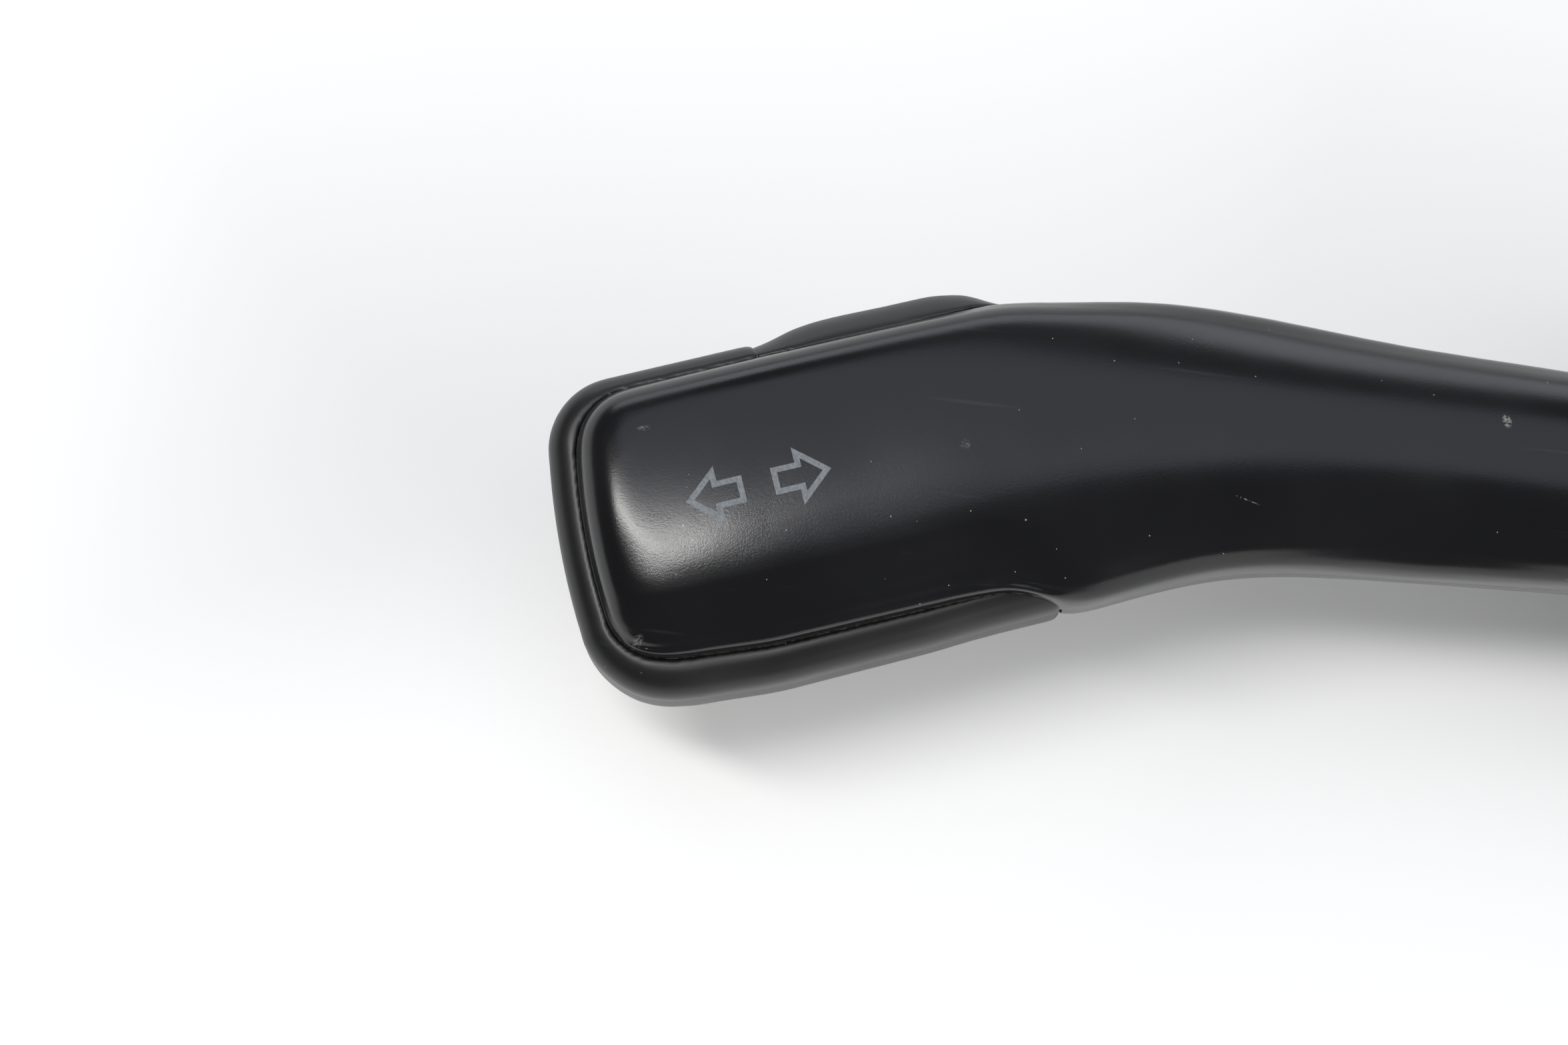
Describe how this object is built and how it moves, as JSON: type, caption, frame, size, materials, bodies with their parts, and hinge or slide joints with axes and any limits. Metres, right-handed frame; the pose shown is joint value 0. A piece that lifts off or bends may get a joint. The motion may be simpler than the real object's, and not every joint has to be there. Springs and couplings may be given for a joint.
{
  "type": "combination stalk switch",
  "caption": "Turn signal and dip lever with a bent paddle head and side rocker, on a two-axis pivot in a housing with plug socket and bolt-on plate.",
  "frame": {"origin": "middle of the four fixing holes, on the mounting plate's back face", "axes": "+Z out of the face with the arrows, towards the driver; -X along the neck to the lever's head; +Y towards the rocker's side; the steering shaft passes on the +X side"},
  "size_m": [0.1918, 0.069, 0.04],
  "materials": {
    "grained_black_plastic": "satin, fine grain",
    "satin_black_plastic": "satin",
    "housing_plastic": "matte",
    "grey_plastic": "matte",
    "natural_plastic": "smooth",
    "switch_plastic": "smooth",
    "board": "satin",
    "wire_sleeve": "satin",
    "steel": "zinc plated",
    "spring_steel": "drawn",
    "plated_steel": "zinc plated, stamped",
    "die_cast": "as cast",
    "copper": "smooth",
    "tinned_brass": "smooth"
  },
  "bodies": {
    "switch_housing": {"mounting_plate": "plated_steel", "plate_screws": "steel", "housing_base": "housing_plastic", "housing_cover": "housing_plastic", "cover_screws": "steel", "circuit_board": "board", "contact_tracks": "copper", "board_chips": "switch_plastic", "slider_guide": "natural_plastic", "turn_detent_cam": "natural_plastic", "pawl_pin": "steel", "pawl_spring": "spring_steel", "terminal_pins": "tinned_brass", "connector_shroud": "grey_plastic"},
    "turn_carrier": {"turn_carrier": "grey_plastic", "dip_pin": "steel", "turn_spring": "spring_steel"},
    "turn_plunger": {"turn_plunger": "natural_plastic"},
    "turn_slider": {"turn_slider": "grey_plastic", "slider_contacts": "copper"},
    "cancel_pawl": {"cancel_pawl": "natural_plastic"},
    "lever": {"front_shell": "grained_black_plastic", "neck_rear_shell": "grained_black_plastic", "head_rear_shell": "satin_black_plastic", "rocker_pin": "steel", "head_board": "board", "side_switches": "switch_plastic", "head_screws": "steel", "neck_screws": "steel", "lever_core": "die_cast", "root_dome": "satin_black_plastic", "lead_wires": "wire_sleeve", "lead_plug": "natural_plastic", "dip_spring": "spring_steel"},
    "dip_plunger": {"dip_plunger": "natural_plastic"},
    "rocker": {"rocker_button": "satin_black_plastic"}
  },
  "joints": [
    {"name": "turn", "type": "hinge", "parent": "switch_housing", "child": "turn_carrier", "pos_m": [-0.018, 0, 0.021], "axis": [0, 0, 1], "range_deg": [-13, 13]},
    {"name": "dip", "type": "hinge", "parent": "turn_carrier", "child": "lever", "pos_m": [-0.018, 0, 0.021], "axis": [0, 1, 0], "range_deg": [-4.5, 8]},
    {"name": "rocker", "type": "hinge", "parent": "lever", "child": "rocker", "pos_m": [-0.12492, 0.00552, 0.0165], "axis": [0, 0, 1], "range_deg": [-2, 2], "stiffness_Nm_per_rad": 0.05},
    {"name": "turn_plunger", "type": "slide", "parent": "turn_carrier", "child": "turn_plunger", "axis": [1, 0, 0], "range_m": [-0.0012, 0], "stiffness_N_per_m": 400, "deforming": ["turn_spring"]},
    {"name": "dip_plunger", "type": "slide", "parent": "lever", "child": "dip_plunger", "axis": [1, 0, 0], "range_m": [-0.0012, 0], "stiffness_N_per_m": 400, "deforming": ["dip_spring"]},
    {"name": "turn_slider", "type": "slide", "parent": "switch_housing", "child": "turn_slider", "axis": [0, 1, 0], "range_m": [-0.0041, 0.0041]},
    {"name": "cancel_pawl", "type": "hinge", "parent": "switch_housing", "child": "cancel_pawl", "pos_m": [0.0135, 0, 0.0316], "axis": [0, 0, 1], "range_deg": [-15, 15], "stiffness_Nm_per_rad": 0.02}
  ],
  "couplings": [
    {"joint": "turn_slider", "follows": "turn", "m_per_rad": 0.018}
  ]
}
